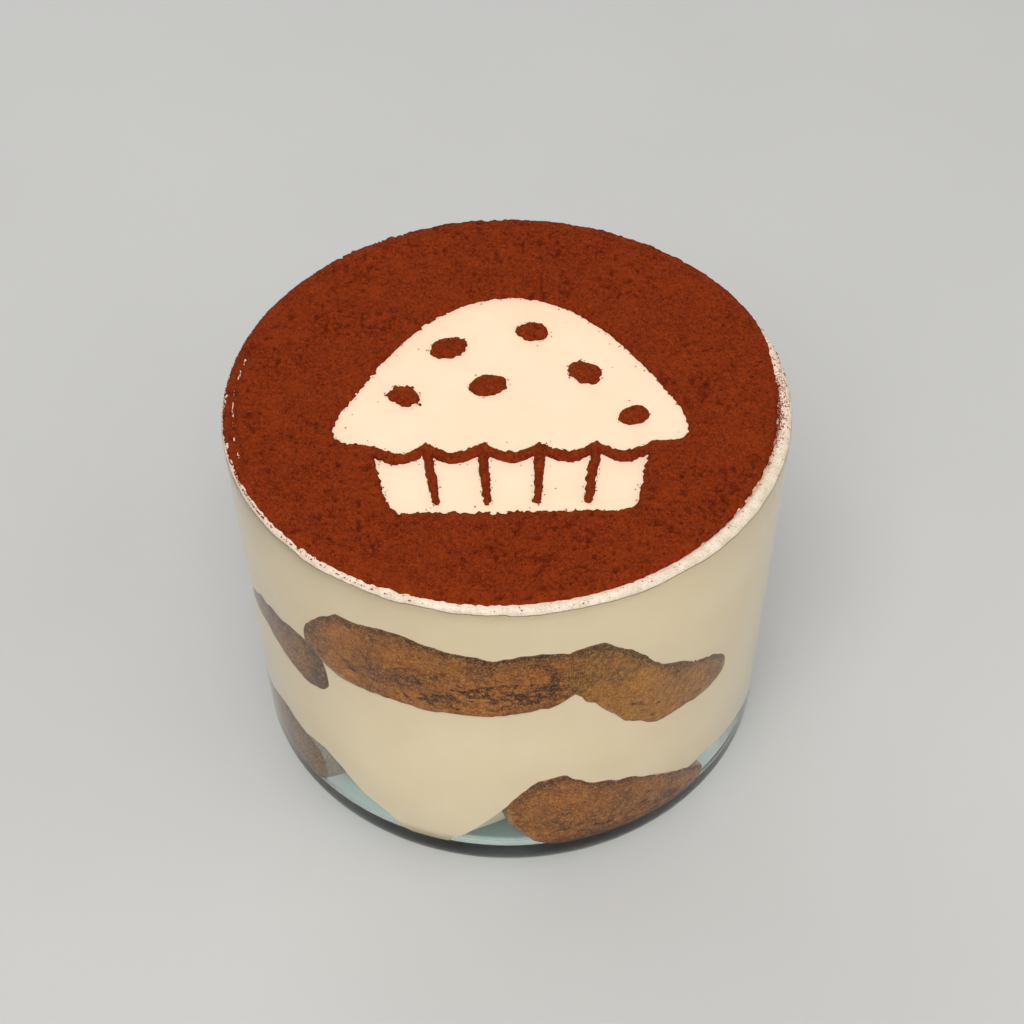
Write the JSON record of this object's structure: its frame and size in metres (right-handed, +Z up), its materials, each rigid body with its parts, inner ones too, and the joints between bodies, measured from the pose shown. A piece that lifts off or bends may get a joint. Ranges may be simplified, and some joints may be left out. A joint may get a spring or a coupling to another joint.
{
  "type": "glass of tiramisu",
  "caption": "Layered coffee and mascarpone dessert in a short tapered clear glass, filled level with the rim and dusted with cocoa that leaves a muffin shape bare on top.",
  "frame": {"origin": "middle of the foot of the glass, on the surface that it stands on", "axes": "+Z up the glass's axis; -Y is the front, which the motif on top stands upright from; +X to the right"},
  "size_m": [0.0858, 0.0858, 0.0659],
  "materials": {
    "glass": "clear pressed soda-lime glass, polished, with a rounded lip and a thick bottom",
    "cream": "soft ivory mascarpone cream, smooth and slightly moist",
    "biscuit": "coffee-soaked sponge finger, open crumb with dark wet stains and a wrinkled crust",
    "cocoa": "fine dry reddish-brown cocoa powder, matt and grainy with crumbly edges"
  },
  "bodies": {
    "root": {"glass": "glass", "biscuit_lower_right": "biscuit", "biscuit_lower_left": "biscuit", "biscuit_lower_back_right": "biscuit", "biscuit_lower_back_left": "biscuit", "biscuit_upper_centre": "biscuit", "biscuit_upper_right": "biscuit", "biscuit_upper_left": "biscuit", "biscuit_upper_back_right": "biscuit", "biscuit_upper_back_left": "biscuit", "cream_lower": "cream", "cream_upper": "cream", "cocoa_layer": "cocoa", "cocoa_chip_1": "cocoa", "cocoa_chip_2": "cocoa", "cocoa_chip_3": "cocoa", "cocoa_chip_4": "cocoa", "cocoa_chip_5": "cocoa", "cocoa_chip_6": "cocoa"}
  },
  "joints": []
}
